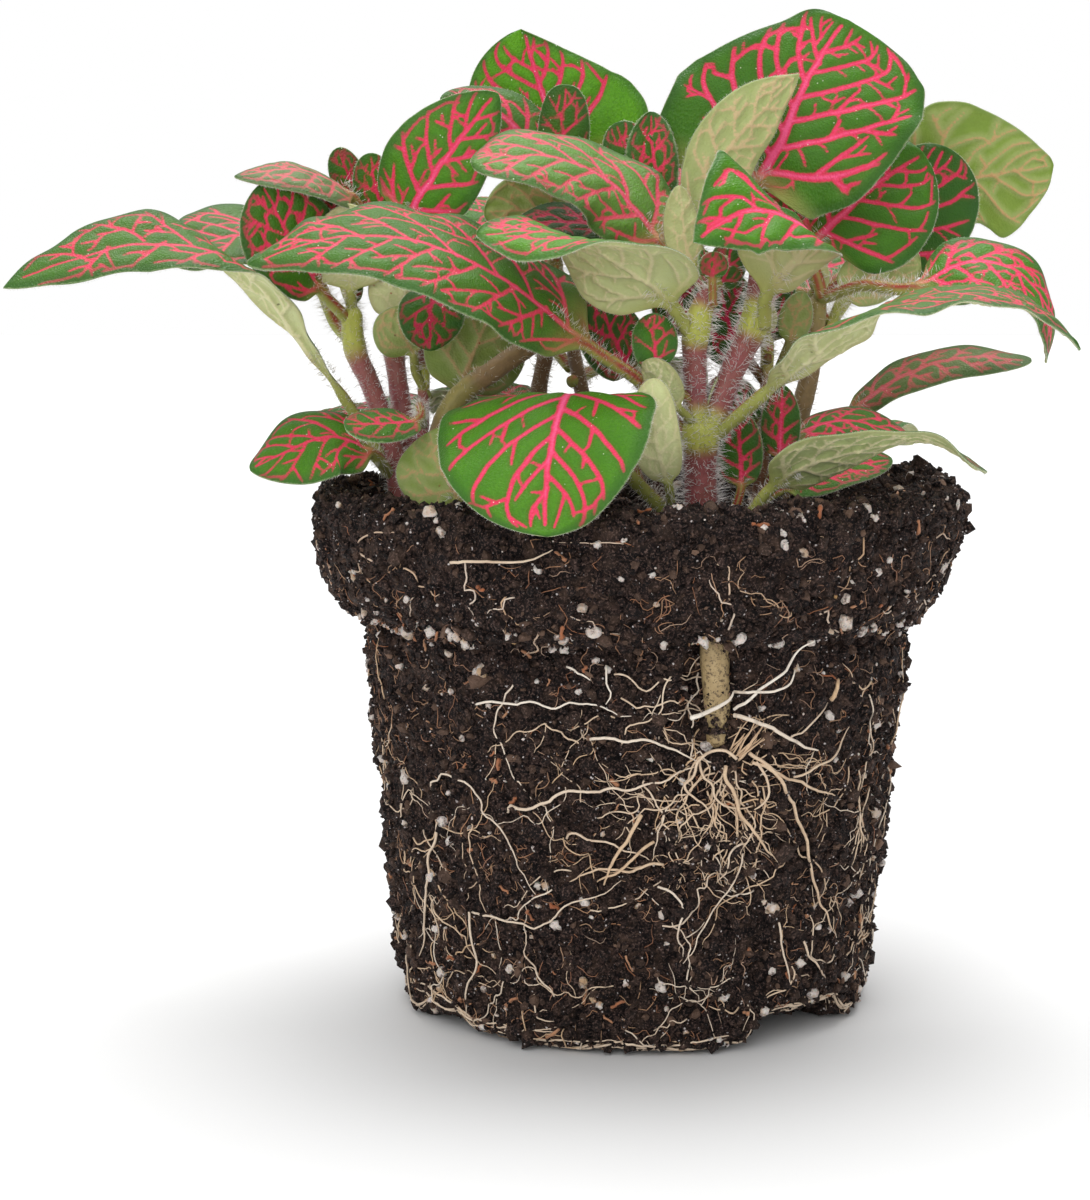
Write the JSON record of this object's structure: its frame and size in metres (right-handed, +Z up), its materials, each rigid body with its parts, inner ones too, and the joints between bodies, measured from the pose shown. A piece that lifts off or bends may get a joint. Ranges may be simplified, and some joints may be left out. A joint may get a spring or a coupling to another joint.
{
  "type": "nerve plant with bare root ball",
  "caption": "Bushy pink-veined nerve plant on hairy creeping stems, standing in a bare soil root ball that keeps the shape of its nursery pot.",
  "frame": {"origin": "centre of the root ball's flat bottom, which stands on the ground", "axes": "+Z up along the root ball's axis, -Y towards the pictured side, +X to the right as pictured"},
  "size_m": [0.1828, 0.1197, 0.1749],
  "materials": {
    "leaf": "satin green leaf with a net of pink veins and a fuzzy pale edge; pale cream-green underneath",
    "stem": "purple-red stem, yellow-green at the nodes, set with white hairs",
    "root": "cream to tan root",
    "soil": "moist black-brown peat with perlite and fine roots"
  },
  "bodies": {
    "root": {"back_centre_leaf": "leaf", "back_leaning_stem": "stem", "back_low_leaf": "leaf", "back_low_left_leaf": "leaf", "back_low_right_leaf": "leaf", "back_mid_leaf": "leaf", "back_mid_left_leaf": "leaf", "back_mid_low_leaf": "leaf", "back_right_leaf": "leaf", "back_stem": "stem", "back_upper_left_leaf": "leaf", "bud_leaf": "leaf", "buried_stem_and_roots": "root", "centre_dark_leaf": "leaf", "centre_front_leaf": "leaf", "centre_shaded_leaf": "leaf", "centre_small_leaf": "leaf", "centre_stem": "stem", "centre_top_leaf": "leaf", "centre_turned_leaf": "leaf", "far_left_leaf": "leaf", "folded_centre_leaf": "leaf", "front_folded_leaf": "leaf", "front_hanging_leaf": "leaf", "front_left_leaf": "leaf", "hooded_leaf": "leaf", "leaning_stem": "stem", "left_back_leaf": "leaf", "left_shaded_leaf": "leaf", "left_small_leaf": "leaf", "left_stem": "stem", "left_top_leaf": "leaf", "left_upright_leaf": "leaf", "low_curled_leaf": "leaf", "low_left_leaf": "leaf", "low_lying_leaf": "leaf", "low_right_leaf": "leaf", "low_small_leaf": "leaf", "low_turned_leaf": "leaf", "low_upright_leaf": "leaf", "main_stem": "stem", "narrow_upright_leaf": "leaf", "pale_curled_leaf": "leaf", "raised_left_leaf": "leaf", "right_arching_leaf": "leaf", "right_big_leaf": "leaf", "right_brown_leaf": "leaf", "right_clawed_leaf": "leaf", "right_dark_leaf": "leaf", "right_lower_leaf": "leaf", "right_pale_leaf": "leaf", "right_stem": "stem", "right_turned_leaf": "leaf", "right_under_leaf": "leaf", "root_ball": "soil", "small_heart_leaf": "leaf", "small_turned_leaf": "leaf", "thin_stem": "stem", "top_left_leaf": "leaf", "turned_mid_leaf": "leaf"}
  },
  "joints": []
}
